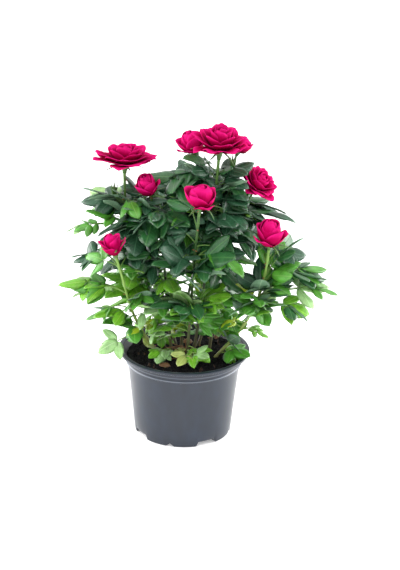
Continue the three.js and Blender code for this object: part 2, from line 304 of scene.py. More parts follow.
def spun_pot(segments):
    """The profile turned about the upright axis, with its foot pressed up."""
    profile = rounded(pot_corners)
    wall = [profile[5].lerp(profile[6], k / 10) for k in range(1, 10)]
    floor = [Vector((r, 0)) for r in (12, 26, *np.linspace(*floor_press, 4), 42)]
    profile = [profile[0], *floor, *profile[1:6], *wall, *profile[6:]]
    ring_count = len(profile) - 2
    verts = [(0, 0, 0), (0, 0, profile[-1].y * MM)]
    for point in profile[1:-1]:
        for k in range(segments):
            bearing = 360 * k / segments
            lift = pressed_foot(bearing, point.x)
            height = point.y + lift * max(0, 1 - point.y / wall_press)
            angle = math.radians(bearing)
            verts.append((point.x * math.cos(angle) * MM, point.x * math.sin(angle) * MM, height * MM))
    last = 2 + (ring_count - 1) * segments
    faces = bands(2, ring_count - 1, segments)
    for k in range(segments):
        after = (k + 1) % segments
        faces.append((0, 2 + after, 2 + k))
        faces.append((1, last + k, last + after))
    mesh = bpy.data.meshes.new("pot_shell")
    mesh.from_pydata(verts, [], faces)
    return mesh


highlit_beads = [(step_height + 0.9, 0.62), (step_height + 4.4, 0.22)]  # height, and how strong the painted highlight along it is
painted_highlight_width = 0.75 * MM
plastic_tones = {  # mean colour, roughness and the bloom of its surface, out in the light and in the painted shade inside
    "pot_plastic": ((22, 32, 47), 0.26, 0.9),
    "pot_inside": ((15, 20, 28), 0.45, 0.1),
}
# the pale colour of the painted highlight along the beads
highlight_pale = linear(168, 176, 188)
faces_inwards = -0.35  # a wall's face looks inwards when its normal runs this far against the way out


def pot_plastic(name):
    """Matt nursery plastic with drawn streaks, and a painted highlight along its beads."""
    tone, roughness, bloom = plastic_tones[name]
    material, principled = shader(name, linear(*tone), roughness, Specular_IOR_Level=0.55,
                                  Sheen_Weight=bloom, Sheen_Roughness=0.16)
    tree = material.node_tree
    place = object_place(tree)
    cloud = cloudy(tree, place, 55.0, 3.0)
    streak = cloudy(tree, stretched(tree, place, (120, 120, 40)), 1.0, 2.0)
    half = maths(tree, "MULTIPLY", maths(tree, "ADD", cloud, streak), 0.5)
    colour = ramp(tree, half, [(stop, linear(*(depth * c for c in tone)))
                               for stop, depth in ((0.3, 0.86), (0.5, 1.0), (0.75, 1.2))])
    height = node_in(tree, "ShaderNodeSeparateXYZ", {0: place}).outputs["Z"]
    # a pale band painted along each bead stands in for the highlight that its upturned edge catches
    for bead, highlight_strength in highlit_beads:
        gap = maths(tree, "ABSOLUTE", maths(tree, "SUBTRACT", height, bead * MM))
        painted_highlight = remapped(tree, gap, 0.0, painted_highlight_width, highlight_strength, 0.0)
        colour = overlaid(tree, painted_highlight, colour, highlight_pale)
    tree.links.new(colour, principled.inputs["Base Color"])
    gloss = remapped(tree, cloud, 0.0, 1.0, roughness, roughness + 0.12)
    tree.links.new(gloss, principled.inputs["Roughness"])
    raised(tree, principled, cloudy(tree, place, 900.0, 1.0), 0.08, 0.0002)
    return material


pot = link("pot_shell", spun_pot(288))
for name in plastic_tones:
    pot.data.materials.append(pot_plastic(name))
for polygon in pot.data.polygons:  # the wall's inside takes the darker copy of the plastic, which paints the shade inside the pot
    outwards = Vector((polygon.center.x, polygon.center.y, 0)).normalized()
    polygon.material_index = int(polygon.normal.dot(outwards) < faces_inwards)
finish(pot, "pot", "pot")


# ---- Soil ----
# Damp dark potting soil fills the pot to a finger's width under the rim. Its top is lumpy and strewn
# with crumbs, and with chips of bark that have worked up to the surface.

def geometry_tree(name, inputs):
    """A Geometry Nodes tree with named inputs; returns the tree, its input node and its output node."""
    tree = bpy.data.node_groups.new(name, "GeometryNodeTree")
    tree.interface.new_socket("Geometry", in_out="INPUT", socket_type="NodeSocketGeometry")
    for label, kind in inputs:
        tree.interface.new_socket(label, in_out="INPUT", socket_type="NodeSocket" + kind)
    tree.interface.new_socket("Geometry", in_out="OUTPUT", socket_type="NodeSocketGeometry")
    return tree, tree.nodes.new("NodeGroupInput").outputs, tree.nodes.new("NodeGroupOutput").inputs


def made_real(tree, geometry, material):
    """The end of a tree: its copies become plain mesh and are painted."""
    solid = node_in(tree, "GeometryNodeRealizeInstances", {"Geometry": geometry})
    painted = node_in(tree, "GeometryNodeSetMaterial", {"Geometry": solid.outputs[0], "Material": material})
    return painted.outputs[0]


def plain_mesh(source):
    """A copy of an object's mesh with its modifiers worked into it."""
    graph = bpy.context.evaluated_depsgraph_get()
    return bpy.data.meshes.new_from_object(source.evaluated_get(graph))


def grown(name, source, tree, values):
    """What a Geometry Nodes tree makes of a source object, as a plain mesh object of its own."""
    modifier = source.modifiers.new(name, "NODES")
    modifier.node_group = tree
    for item in tree.interface.items_tree:
        if item.item_type == "SOCKET" and item.in_out == "INPUT" and item.name in values:
            modifier[item.identifier] = values[item.name]
    mesh = plain_mesh(source)
    source.modifiers.remove(modifier)
    mesh.name = name
    return link(name, mesh)


def unlinked(name, verts, faces):
    """A small shape that is only ever copied, so it isn't part of the scene."""
    mesh = bpy.data.meshes.new(name)
    mesh.from_pydata(verts, [], faces)
    mesh.polygons.foreach_set("use_smooth", [True] * len(faces))
    return bpy.data.objects.new(name, mesh)


def put_away(*collections):
    """Removes shapes that were only there to be copied, and the collections that held them."""
    for collection in collections:
        for shape in list(collection.objects):
            bpy.data.objects.remove(shape)
        bpy.data.collections.remove(collection)


def lumpy_stone(name, stretch, roughness, seed):
    """A crumb: a ball of a few dozen faces knocked out of round."""
    gold = (1 + 5**0.5) / 2
    corners = [Vector(p).normalized() for p in (
        (-1, gold, 0), (1, gold, 0), (-1, -gold, 0), (1, -gold, 0), (0, -1, gold), (0, 1, gold),
        (0, -1, -gold), (0, 1, -gold), (gold, 0, -1), (gold, 0, 1), (-gold, 0, -1), (-gold, 0, 1))]
    faces = [(0, 11, 5), (0, 5, 1), (0, 1, 7), (0, 7, 10), (0, 10, 11), (1, 5, 9), (5, 11, 4),
             (11, 10, 2), (10, 7, 6), (7, 1, 8), (3, 9, 4), (3, 4, 2), (3, 2, 6), (3, 6, 8), (3, 8, 9),
             (4, 9, 5), (2, 4, 11), (6, 2, 10), (8, 6, 7), (9, 8, 1)]
    verts = []
    for corner in corners:
        push = 1 + roughness * noise.noise(corner * 2.0 + Vector((seed, 0, 0)))
        verts.append(tuple(corner[k] * push * stretch[k] for k in range(3)))
    return unlinked(name, verts, faces)


_, soil_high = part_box("soil")
soil_top = soil_high.z / MM
soil_radius = 56.4  # where the soil meets the inside of the collar
soil_skirt = 54.0  # the bed's radius at its lower edge
soil_depth = 12


def soil_height(x, y):
    """The lumpy top of the soil, in millimetres."""
    lumps = 1.8 * noise.noise(Vector((x, y, 0)) * 0.07) + 0.9 * noise.noise(Vector((x, y, 7)) * 0.22)
    reach = math.hypot(x, y) / soil_radius
    return soil_top + 1.2 + lumps + 1.0 * reach**6


def turned_over(faces):
    """The same faces, looking the other way."""
    return [(face[0], *face[:0:-1]) for face in faces]


def soil_bed():
    """The bed of soil: a lumpy top, sides that lean in a little, and a flat underside."""
    rings, segments = 34, 120
    verts = [(0, 0, soil_height(0, 0) * MM)]
    turns = [math.tau * k / segments for k in range(segments)]
    for ring in range(1, rings + 1):
        radius = soil_radius * ring / rings
        for angle in turns:
            x, y = radius * math.cos(angle), radius * math.sin(angle)
            verts.append((x * MM, y * MM, (soil_height(x, y) + 0.5 * noise.noise(Vector((x, y, 3)))) * MM))
    for angle in turns:
        x, y = soil_skirt * math.cos(angle), soil_skirt * math.sin(angle)
        verts.append((x * MM, y * MM, (soil_top - soil_depth) * MM))
    verts.append((0, 0, (soil_top - soil_depth) * MM))
    below = 1 + rings * segments
    faces = turned_over(bands(1, rings, segments))
    for k in range(segments):
        after = (k + 1) % segments
        faces.append((0, 1 + k, 1 + after))
        faces.append((below + k, len(verts) - 1, below + after))
    mesh = bpy.data.meshes.new("soil_bed")
    mesh.from_pydata(verts, [], faces)
    return mesh


def earth(name, dark, light, scale, roughness):
    """A crumbly material between two tones."""
    dark, light = linear(*dark), linear(*light)
    material, principled = shader(name, dark, roughness, Specular_IOR_Level=0.25)
    tree = material.node_tree
    grit = cloudy(tree, object_place(tree), scale, 6.0, 0.7)
    tree.links.new(ramp(tree, grit, [(0.42, dark), (0.72, light)]), principled.inputs["Base Color"])
    raised(tree, principled, grit, 0.7, 0.001)
    return material


soil_dark = earth("soil_dark", (4, 4, 7), (22, 19, 21), 420.0, 0.9)
bark_brown = earth("bark_brown", (38, 26, 20), (88, 62, 46), 600.0, 0.8)

strewn_tree, strewn_in, strewn_out = geometry_tree("strewn", [
    ("Pieces", "Collection"), ("Density", "Float"), ("Smallest", "Float"), ("Largest", "Float"),
    ("Seed", "Int"), ("Material", "Material")])
scatter = node_in(strewn_tree, "GeometryNodeDistributePointsOnFaces", {
    "Mesh": strewn_in["Geometry"], "Density": strewn_in["Density"], "Seed": strewn_in["Seed"]})
shapes = node_in(strewn_tree, "GeometryNodeCollectionInfo", {
    "Collection": strewn_in["Pieces"], "Separate Children": True, "Reset Children": True})
any_turn = (6.28, 6.28, 6.28)
spin = node_in(strewn_tree, "FunctionNodeRandomValue", {
    "Min": (0, 0, 0), "Max": any_turn, "Seed": strewn_in["Seed"]}, data_type="FLOAT_VECTOR")
swell = node_in(strewn_tree, "FunctionNodeRandomValue", {
    2: strewn_in["Smallest"], 3: strewn_in["Largest"], "Seed": strewn_in["Seed"]}, data_type="FLOAT")
strewn = node_in(strewn_tree, "GeometryNodeInstanceOnPoints", {
    "Points": scatter.outputs["Points"], "Instance": shapes.outputs[0], "Pick Instance": True,
    "Rotation": spin.outputs["Value"], "Scale": swell.outputs["Value"]})
strewn_tree.links.new(made_real(strewn_tree, strewn.outputs[0], strewn_in["Material"]),
                      strewn_out["Geometry"])

soil = link("soil_bed", soil_bed())
soil.data.materials.append(soil_dark)

strewn_top = bpy.data.meshes.new("strewn_top")  # the open top of the soil, where loose pieces lie
reach, step = 53, 3
rows = range(-reach, reach + 1, step)
ground = [(x, y) for x in rows for y in rows if math.hypot(x, y) < reach]
corner = {spot: k for k, spot in enumerate(ground)}
strewn_top.from_pydata(
    [(x * MM, y * MM, soil_height(x, y) * MM) for x, y in ground],
    [],
    [(corner[x, y], corner[x + step, y], corner[x + step, y + step], corner[x, y + step])
     for x, y in ground if {(x + step, y), (x + step, y + step), (x, y + step)} <= corner.keys()],
)
strewn_source = link("strewn_source", strewn_top)
crumbs = bpy.data.collections.new("crumbs")
chips = bpy.data.collections.new("chips")
for k in range(3):
    crumbs.objects.link(lumpy_stone(f"crumb_{k}", (1, 0.9, 0.75), 0.8, k * 5.0))
    chips.objects.link(lumpy_stone(f"chip_{k}", (1.5, 0.8, 0.3), 0.7, k * 3.0 + 1.0))
soil_crumbs = grown("soil_crumbs", strewn_source, strewn_tree, {
    "Pieces": crumbs, "Density": 260000.0, "Smallest": 0.5 * MM, "Largest": 1.7 * MM, "Seed": 4,
    "Material": soil_dark})
bark_chips = grown("bark_chips", strewn_source, strewn_tree, {
    "Pieces": chips, "Density": 4200.0, "Smallest": 1.1 * MM, "Largest": 3.2 * MM, "Seed": 11,
    "Material": bark_brown})
bpy.data.objects.remove(strewn_source)
put_away(crumbs, chips)
finish(soil, "soil", "soil")
finish(soil_crumbs, "soil")
finish(bark_chips, "soil")


# ---- Canes ----
# Ten young rose canes rise from the soil: eight that end in a flower, and two leafy ones at the back.
# Each follows the line of its limb in the model, thickens a little at every leaf joint, and is set with
# small hooked prickles.

limb_slices = 26
cane_steps = 60


def centreline(name):
    """Points up the middle of a limb, found by slicing it level from foot to tip."""
    mesh = cad[name].data
    points = np.array([v.co for v in mesh.vertices])
    low, high = points[:, 2].min(), points[:, 2].max()
    edges = np.array([e.vertices for e in mesh.edges])
    start, end = points[edges[:, 0]], points[edges[:, 1]]
    line = []
    for k in range(limb_slices):
        level = low + (high - low) * (0.015 + 0.97 * k / (limb_slices - 1))
        crossing = (start[:, 2] - level) * (end[:, 2] - level) < 0
        below, above = start[crossing], end[crossing]
        share = ((level - below[:, 2]) / (above[:, 2] - below[:, 2]))[:, None]
        cut = below * (1 - share) + above * share
        line.append(Vector((cut.min(0) + cut.max(0)) / 2))
    return line


def smooth_line(line, count):
    """The same line through evenly spaced points, eased by a moving average."""
    eased = [line[0]] + [(a + 2 * b + c) / 4 for a, b, c in zip(line, line[1:], line[2:])] + [line[-1]]
    lengths = [0.0]
    for a, b in zip(eased, eased[1:]):
        lengths.append(lengths[-1] + (b - a).length)
    even = []
    for k in range(count):
        want = lengths[-1] * k / (count - 1)
        j = max(1, next((i for i, s in enumerate(lengths) if s >= want), len(lengths) - 1))
        span = lengths[j] - lengths[j - 1]
        even.append(eased[j - 1].lerp(eased[j], (want - lengths[j - 1]) / span if span else 0))
    return even


def bowed(start, leave, end, arrive, bow, count):
    """Points along a smooth curve that leaves and arrives in the directions given."""
    reach = (end - start).length * bow
    a = start + leave.normalized() * reach
    b = end - arrive.normalized() * reach
    points = []
    for t in (k / (count - 1) for k in range(count)):
        near = (1 - t) ** 3 * start + 3 * t * (1 - t) ** 2 * a
        points.append(near + 3 * t * t * (1 - t) * b + t**3 * end)
    return points


def tube(verts, faces, line, radii, sides):
    """Adds a closed round tube along a line to a list of vertices and faces."""
    side = UP.cross(line[1] - line[0])
    side = side.normalized() if side.length > 1e-9 else Vector((1, 0, 0))
    first = len(verts)
    for k, point in enumerate(line):
        along = (line[min(k + 1, len(line) - 1)] - line[max(k - 1, 0)]).normalized()
        side = (side - along * side.dot(along)).normalized()
        other = along.cross(side)
        for s in range(sides):
            angle = 2 * math.pi * s / sides
            verts.append(point + (side * math.cos(angle) + other * math.sin(angle)) * radii[k])
    faces.extend(bands(first, len(line) - 1, sides))
    faces.append(tuple(first + s for s in reversed(range(sides))))
    faces.append(tuple(first + (len(line) - 1) * sides + s for s in range(sides)))


bark_low, bark_high = 0.115, 0.33  # heights in metres between which bark runs through its colours


def bark(name, *tones):
    """Bark with faint lengthwise lines and pores; its tones run from the foot of the plant to the top."""
    colours = [linear(*tone) for tone in tones]
    material, principled = shader(name, colours[0], 0.5, Specular_IOR_Level=0.4)
    tree = material.node_tree
    place = object_place(tree)
    height = node_in(tree, "ShaderNodeSeparateXYZ", {0: place}).outputs["Z"]
    blotch = maths(tree, "MULTIPLY", cloudy(tree, place, 260.0, 4.0), 0.09)
    share = remapped(tree, maths(tree, "ADD", height, blotch), bark_low, bark_high, 0.0, 1.0)
    stops = [(k / (len(colours) - 1), c) for k, c in enumerate(colours)]
    tree.links.new(ramp(tree, share, stops), principled.inputs["Base Color"])
    ribs = cloudy(tree, stretched(tree, place, (2200, 2200, 160)), 1.0, 2.0)
    raised(tree, principled, ribs, 0.35, 0.0003)
    return material


green_bark = bark("green_bark", (150, 150, 92), (140, 172, 84), (110, 150, 66), (88, 122, 58))
olive_bark = bark("olive_bark", (92, 84, 58), (66, 84, 48), (58, 92, 46), (96, 136, 64))

touching = 6 * MM  # a flower this near the top of a cane is seated on it
seat_reach = 4 * MM  # the points this near the seat are the foot of the flower
joining = 9 * MM  # a cane that ends this near the foot of a flower runs on into it


def flower_axis(name):
    """Where a flower head sits on its cane, which way it faces, and its radius and height."""
    mesh = cad[name].data
    points = np.array([v.co for v in mesh.vertices])
    corners = np.array([p.vertices for p in mesh.polygons])
    a, b, c = (points[corners[:, k]] for k in range(3))
    area = np.linalg.norm(np.cross(b - a, c - a), axis=1)
    heart = ((a + b + c) / 3 * area[:, None]).sum(0) / area.sum()
    gaps = [np.linalg.norm(points - np.array(top), axis=1) for top in limb_tops]
    nearest = min(gaps, key=lambda gap: gap.min())
    seat = points[np.argmin(nearest if nearest.min() < touching else points[:, 2])]
    base = points[np.linalg.norm(points - seat, axis=1) < seat_reach].mean(0)
    axis = (heart - base) / np.linalg.norm(heart - base)
    along = (points - base) @ axis
    radius = np.linalg.norm(points - base - along[:, None] * axis, axis=1).max()
    return Vector(base), Vector(axis), radius, along.max()


flower_kinds = {  # the kind of flower, and the share of the head's height that is green hip
    "bloom_top": ("open", 0.2), "bloom_left": ("open", 0.24), "bloom_right": ("open", 0.22),
    "bloom_top_left": ("cup", 0.16), "bloom_top_right": ("cup", 0.16), "bloom_front": ("cup", 0.12),
    "bloom_right_low": ("cup", 0.12), "bud_inner_left": ("cup", 0.04), "bud_left_low": ("bud", 0.12),
}
leans_back = {"bloom_left": 8, "bloom_top": 3}  # degrees that a heavy head leans off its cane
cane_names = sorted(n for n in cad if n.startswith("cane_"))
light_canes = ["cane_left", "cane_right"]
dark_canes = [name for name in cane_names if name not in light_canes]
canes = {name: smooth_line(centreline(name), cane_steps) for name in cane_names}
limb_tops = [line[-1].copy() for line in canes.values()]
flowers = {}
for name in flower_kinds:
    base, axis, radius, height = flower_axis(name)
    axis = Quaternion((1, 0, 0), -math.radians(leans_back.get(name, 0))) @ axis
    flowers[name] = (base, axis, radius, height)
for line in canes.values():  # each cane runs on into the hip of its own flower
    base, axis, _, height = min(flowers.values(), key=lambda f: (f[0] - line[-1]).length)
    if (base - line[-1]).length < joining:
        line[-3:] = bowed(line[-4], line[-4] - line[-6], base + axis * 0.04 * height, axis, 0.35, 8)[1:]
foot_sink = 7 * MM  # how deep a cane's foot stands in the soil
joint_gap = 17 * MM  # from one leaf joint of a cane to the next


def cane_piece(name, names, material):
    """Some canes as one object, each a tube that swells at its joints and flares at both ends."""
    verts, faces = [], []
    for number, cane in enumerate(names):
        line = canes[cane]
        foot = line[0] - (line[1] - line[0]).normalized() * foot_sink
        line = [foot, *line]
        radii, walked = [], 0.0
        for k, point in enumerate(line):
            walked += (point - line[k - 1]).length if k else 0
            share = k / (len(line) - 1)
            joint = math.exp(-(((walked / joint_gap + number * 0.37) % 1 - 0.5) * 7) ** 2)
            flare = 0.3 * math.exp(-k / 3) + 0.9 * math.exp((k - len(line)) / 5)
            radii.append((1.5 - 0.5 * share + 0.3 * joint + flare) * MM)
        tube(verts, faces, line, radii, 12)
    mesh = bpy.data.meshes.new(name)
    mesh.from_pydata(verts, [], faces)
    mesh.materials.append(material)
    return link(name, mesh)


light_piece = cane_piece("canes_light", light_canes, green_bark)
dark_piece = cane_piece("canes_dark", dark_canes, olive_bark)

prickle_red = bark("prickle_red", (146, 96, 66), (158, 92, 68))
hook_rings = [(0.0, 0.0, 0.42), (0.45, 0.10, 0.22), (1.0, 0.42, 0.02)]  # height, bend and half width
hook_sides = (0, 1.05, 2.09, 3.14, 4.19, 5.24)
hook_verts = [(bend + half * math.cos(a), 0.55 * half * math.sin(a), height)
              for height, bend, half in hook_rings for a in hook_sides]
hook_faces = bands(0, 2, 6) + [(5, 4, 3, 2, 1, 0), (12, 13, 14, 15, 16, 17)]
hooks = bpy.data.collections.new("hooks")
hooks.objects.link(unlinked("prickle", hook_verts, hook_faces))

prickle_tree, prickle_in, prickle_out = geometry_tree("prickles", [
    ("Hook", "Collection"), ("Density", "Float"), ("Length", "Float"), ("Seed", "Int"),
    ("Material", "Material")])
scatter = node_in(prickle_tree, "GeometryNodeDistributePointsOnFaces", {
    "Mesh": prickle_in["Geometry"], "Density": prickle_in["Density"], "Seed": prickle_in["Seed"]})
hook_info = node_in(prickle_tree, "GeometryNodeCollectionInfo", {"Collection": prickle_in["Hook"]})
placed_hooks = node_in(prickle_tree, "GeometryNodeInstanceOnPoints", {
    "Points": scatter.outputs["Points"], "Instance": hook_info.outputs[0],
    "Rotation": scatter.outputs["Rotation"], "Scale": prickle_in["Length"]})
prickle_tree.links.new(made_real(prickle_tree, placed_hooks.outputs[0], prickle_in["Material"]),
                       prickle_out["Geometry"])

prickle_pieces = [
    grown(name, source, prickle_tree, {"Hook": hooks, "Density": 7500.0, "Length": 2.2 * MM, "Seed": seed,
                                       "Material": prickle_red})
    for name, source, seed in (("prickles_light", light_piece, 3), ("prickles_dark", dark_piece, 8))]
put_away(hooks)
finish(light_piece, "cane", *light_canes)
finish(dark_piece, "cane", *dark_canes)
for piece in prickle_pieces:
    finish(piece, "cane")


# ---- Shoots and leaves ----
# Side shoots grow from the canes into each mass of foliage. They carry compound rose leaves: a stalk
# with leaflets in pairs and one at its end, toothed, folded along the midrib, and arching over.

def turned_to(along, face):
    """The turn that lays a shape's length along one direction and its face towards another."""
    along = along.normalized()
    side = face.cross(along).normalized()
    return Matrix((along, side, along.cross(side))).transposed().to_quaternion()


LEAFLET_STATIONS = 9  # steps along a leaflet, each but the last with a tooth on its edge
LEAFLET_THICKNESS = 0.013  # as a share of the leaflet's length
TOOTH = 0.045  # as a share of the leaflet's half width


def leaflet_shape(name, width, fold, arch, wave, twist):
    """A leaflet of length 1 along +X that faces +Z: a closed, thin, toothed blade.

    fold lifts its halves about the midrib, arch bends it down along its length, wave ripples the edge.
    """
    verts, index = [], {}

    def point(station, across, under, tooth=0.0):
        """The number of one point of the blade; the face and the underside share those of the rim."""
        v = (station + 0.65 * (tooth > 0)) / LEAFLET_STATIONS
        half = 0.5 * width * 2.62 * v**0.62 * max(0.0, 1 - v) ** 0.78
        if v in (0, 1):
            across = 0
        if abs(across) == 1 or v in (0, 1):
            under = False
        key = (station, across, under, tooth)
        if key not in index:
            turn = twist * v
            y = across * half * (1 + tooth)
            lift = fold * abs(y) - 0.9 * y**2 / width
            lift += wave * abs(across) * math.sin(9 * v + 2 * across) * half
            z = lift - arch * v**1.7
            x = v - 0.35 * arch**2 * v**2
            if abs(across) < 1 and 0 < v < 1:
                z += LEAFLET_THICKNESS * (-0.5 if under else 0.5)
                if across == 0:
                    z -= LEAFLET_THICKNESS * (0.9 if under else 0.35)
            index[key] = len(verts)
            turned_y = y * math.cos(turn) - z * math.sin(turn)
            verts.append((x, turned_y, y * math.sin(turn) + z * math.cos(turn)))
        return index[key]

    faces, unders = [], []
    for under in (False, True):
        for k in range(LEAFLET_STATIONS):
            for hand in (-1, 1):
                mid, inner, edge = (lambda s, a=a: point(s, a * hand, under) for a in (0, 0.55, 1))
                tooth = [] if k == LEAFLET_STATIONS - 1 else [point(k, hand, False, TOOTH)]
                for loop in ([mid(k), mid(k + 1), inner(k + 1), inner(k)],
                             [inner(k), inner(k + 1), edge(k + 1), *tooth, edge(k)]):
                    loop = list(dict.fromkeys(loop))
                    if len(loop) > 2:
                        faces.append(loop if (hand == 1) != under else loop[::-1])
                        unders.append(under)
    leaf = unlinked(name, verts, faces)
    flag = leaf.data.attributes.new("underside", "BOOLEAN", "FACE")
    flag.data.foreach_set("value", unders)
    uv = leaf.data.uv_layers.new(name="blade")
    for loop in leaf.data.loops:
        x, y, _ = verts[loop.vertex_index]
        uv.data[loop.index].uv = (x, y + 0.5)
    return leaf


leaf_shapes = bpy.data.collections.new("leaf_shapes")
for number, (width, fold, arch, wave, twist) in enumerate((
    (0.60, 0.30, 0.10, 0.05, 0.15),
    (0.50, 0.50, 0.22, 0.08, -0.20),
    (0.62, 0.18, 0.28, 0.09, 0.25),
    (0.46, 0.36, 0.34, 0.06, -0.10),
    (0.56, 0.62, 0.16, 0.10, 0.05),
    (0.64, 0.24, 0.18, 0.04, -0.30),
    (0.42, 0.44, 0.12, 0.07, 0.35),
    (0.54, 0.14, 0.40, 0.05, 0.10),
)):
    leaf_shapes.objects.link(leaflet_shape(f"leaflet_{number}", width, fold, arch, wave, twist))
shape_count = len(leaf_shapes.objects)

foliage = sorted(n for n in cad if n.startswith("foliage_"))
# What grows in a mass: how many leaves, their span and the length of their end leaflet in
# millimetres, and their tints. A mass that isn't named here takes the plan for its height. Low masses
# take brighter tints, partly their own fresher green and partly painted light that shines through them.
spray_plans = {
    "foliage_left_spray": (6, 46, 34, ["fresh", "mid", "fresh"]),
    "foliage_left_low_spray": (5, 44, 33, ["mid", "fresh", "mid"]),
    "foliage_left_shoulder": (7, 44, 33, ["dusk", "mid", "dusk", "deep", "pale", "dusk"]),
    "foliage_left_high": (2, 32, 17, ["mid", "pale"]),
    "foliage_right_spray": (3, 50, 36, ["mid", "deep"]),
    "foliage_right_tip": (2, 44, 32, ["pale", "mid", "mid"]),
    "foliage_right_low_spray": (2, 40, 31, ["mid", "deep", "fresh"]),
    "foliage_left_mid": (3, 38, 28, ["deep", "dusk", "mid"]),
    "foliage_pale_left": (1, 38, 27, ["pale"]),
    "foliage_small_right": (2, 24, 13, ["fresh"]),
    "foliage_pot_left": (6, 22, 17, ["straw", "straw", "fresh", "pale"]),
    "foliage_pot_right": (2, 30, 31, ["fresh", "mid"]),
    "foliage_pot_front": (4, 26, 17, ["straw", "fresh", "pale"]),
    "foliage_low_left": (9, 34, 22, ["fresh", "mid", "pale", "fresh", "lime"]),
    "foliage_low_right": (10, 34, 23, ["fresh", "mid", "lime", "mid"]),
}
height_plans = [  # up to this height in metres: the size of mass that each leaf fills, then as above
    (0.175, 5.0, 42, 29, ["fresh", "mid", "fresh", "mid", "deep", "fresh"]),
    (0.205, 5.8, 48, 32, ["deep", "mid", "dusk", "deep", "dusk"]),
    (0.235, 6.0, 52, 35, ["deep", "dusk", "dusk", "deep", "mid"]),
    (0.400, 5.2, 54, 37, ["dusk", "deep", "dusk", "dusk"]),
]
filling_leaves = [  # the two masses that they lie between, then as above
    ("foliage_right_mid", "foliage_front_right_low", 9, 42, 32, ["mid", "deep", "dusk", "deep"]),
    ("foliage_right_mid", "foliage_right_low_spray", 4, 42, 32, ["deep", "mid"]),
    ("foliage_front_left_low", "foliage_front_low", 6, 40, 31, ["mid", "fresh"]),
    ("foliage_top_centre", "bloom_top_left", 5, 42, 34, ["dusk", "deep"]),
    ("foliage_top_right", "bloom_right", 4, 42, 34, ["dusk", "deep"]),
    ("foliage_top_right", "bloom_top_right", 3, 40, 32, ["dusk", "deep"]),
]
leaves_turned = {  # what the leaves of a few low shoots face
    "foliage_pale_left": Vector((-0.2, -1.0, 0.2)), "foliage_pot_right": Vector((0.1, -0.7, 0.7)),
    "foliage_pot_front": Vector((-0.1, -0.8, 0.6)), "foliage_pot_left": Vector((0.1, -0.8, 0.7)),
}
high_growth = 0.24  # above this, in metres, the leaves stand out past their mass
near_axis = 12 * MM  # a mass whose middle is this near the plant's axis grows towards the front
shortest_shoot = 9 * MM
gap_scatter = 13 * MM  # how far the filling leaves stray from the line between their masses
stalk_steps = 8
leaflets = []  # each is (tint, place, turn, length, shape number)
shoot_lines = []  # each is (points, radius at the start, radius at the end)
stalk_lines = []
bare_top = 4  # the last steps of a cane, close under its flower, from which nothing grows
cane_points = [(name, k, p) for name in cane_names
               for k, p in enumerate(canes[name][:cane_steps - bare_top])]
cane_joints = [(p, (canes[n][k + 1] - p).normalized()) for n, k, p in cane_points]
# Where the leaves of a mass point: degrees round from outwards, and how steeply up.
leaf_headings = [(0, 0.1), (62, 0.45), (-62, 0.25), (112, -0.1), (-112, 0.5), (30, -0.6), (-28, 0.9),
                 (180, 0.3), (-35, -0.5), (90, 1.0)]
crown_seed = 20
rng = random.Random(crown_seed)


def in_flower(point):
    """Whether a point lies within the petals of a flower, where no leaf can grow."""
    for base, axis, radius, height in flowers.values():
        along = (point - base).dot(axis)
        off_axis = (point - base - axis * along).length
        if 0.05 * height < along < 1.05 * height and off_axis < radius + 1 * MM:
            return True
    return False


def compound_leaf(base, leave, tip, face, pairs, blade, tint):
    """One rose leaf from its joint on the shoot to the tip of its end leaflet."""
    blade = min(blade, (tip - base).length * 0.75)
    end = tip - (tip - base).normalized() * blade * 0.93
    arrive = (tip - base).normalized() - UP * rng.uniform(0.0, 0.35)
    stalk = bowed(base, leave, end, arrive, 0.3, stalk_steps + 1)
    stalk_lines.append((stalk, 0.6 * MM, 0.4 * MM))

    def add(place, direction, facing, length):
        """One leaflet, unless it would run into a flower."""
        shape = rng.randrange(shape_count)
        blade_line = direction.normalized() * length
        if not any(in_flower(place + blade_line * t) for t in (0.2, 0.4, 0.6, 0.8, 1)):
            leaflets.append((tint, place, turned_to(direction, facing), length, shape))

    add(stalk[-1], stalk[-1] - stalk[-2], face, blade * rng.uniform(0.98, 1.08))
    for pair in range(pairs):
        place_share = 0.93 - 0.34 * pair
        k = min(int(place_share * stalk_steps), stalk_steps - 1)
        joint = stalk[k].lerp(stalk[k + 1], place_share * stalk_steps - k)
        direction = (stalk[k + 1] - stalk[k]).normalized()
        side = face.cross(direction).normalized()
        size = blade * (0.86 - 0.13 * pair)
        for hand in (-1, 1):
            spread = math.radians(rng.uniform(46, 70))
            outwards = direction * math.cos(spread) + side * hand * math.sin(spread)
            outwards -= face * rng.uniform(-0.15, 0.25)
            facing = face + side * hand * rng.uniform(-0.2, 0.45)
            add(joint + outwards * 0.8 * MM, outwards, facing, size * rng.uniform(0.86, 1.06))


def furthest(points, direction):
    """The point of a mass that reaches furthest in a direction."""
    return Vector(points[int(np.argmax(points @ np.array(direction)))])


longest_stalk = 1.25  # the most that a leaf can be stretched, as a share of its span


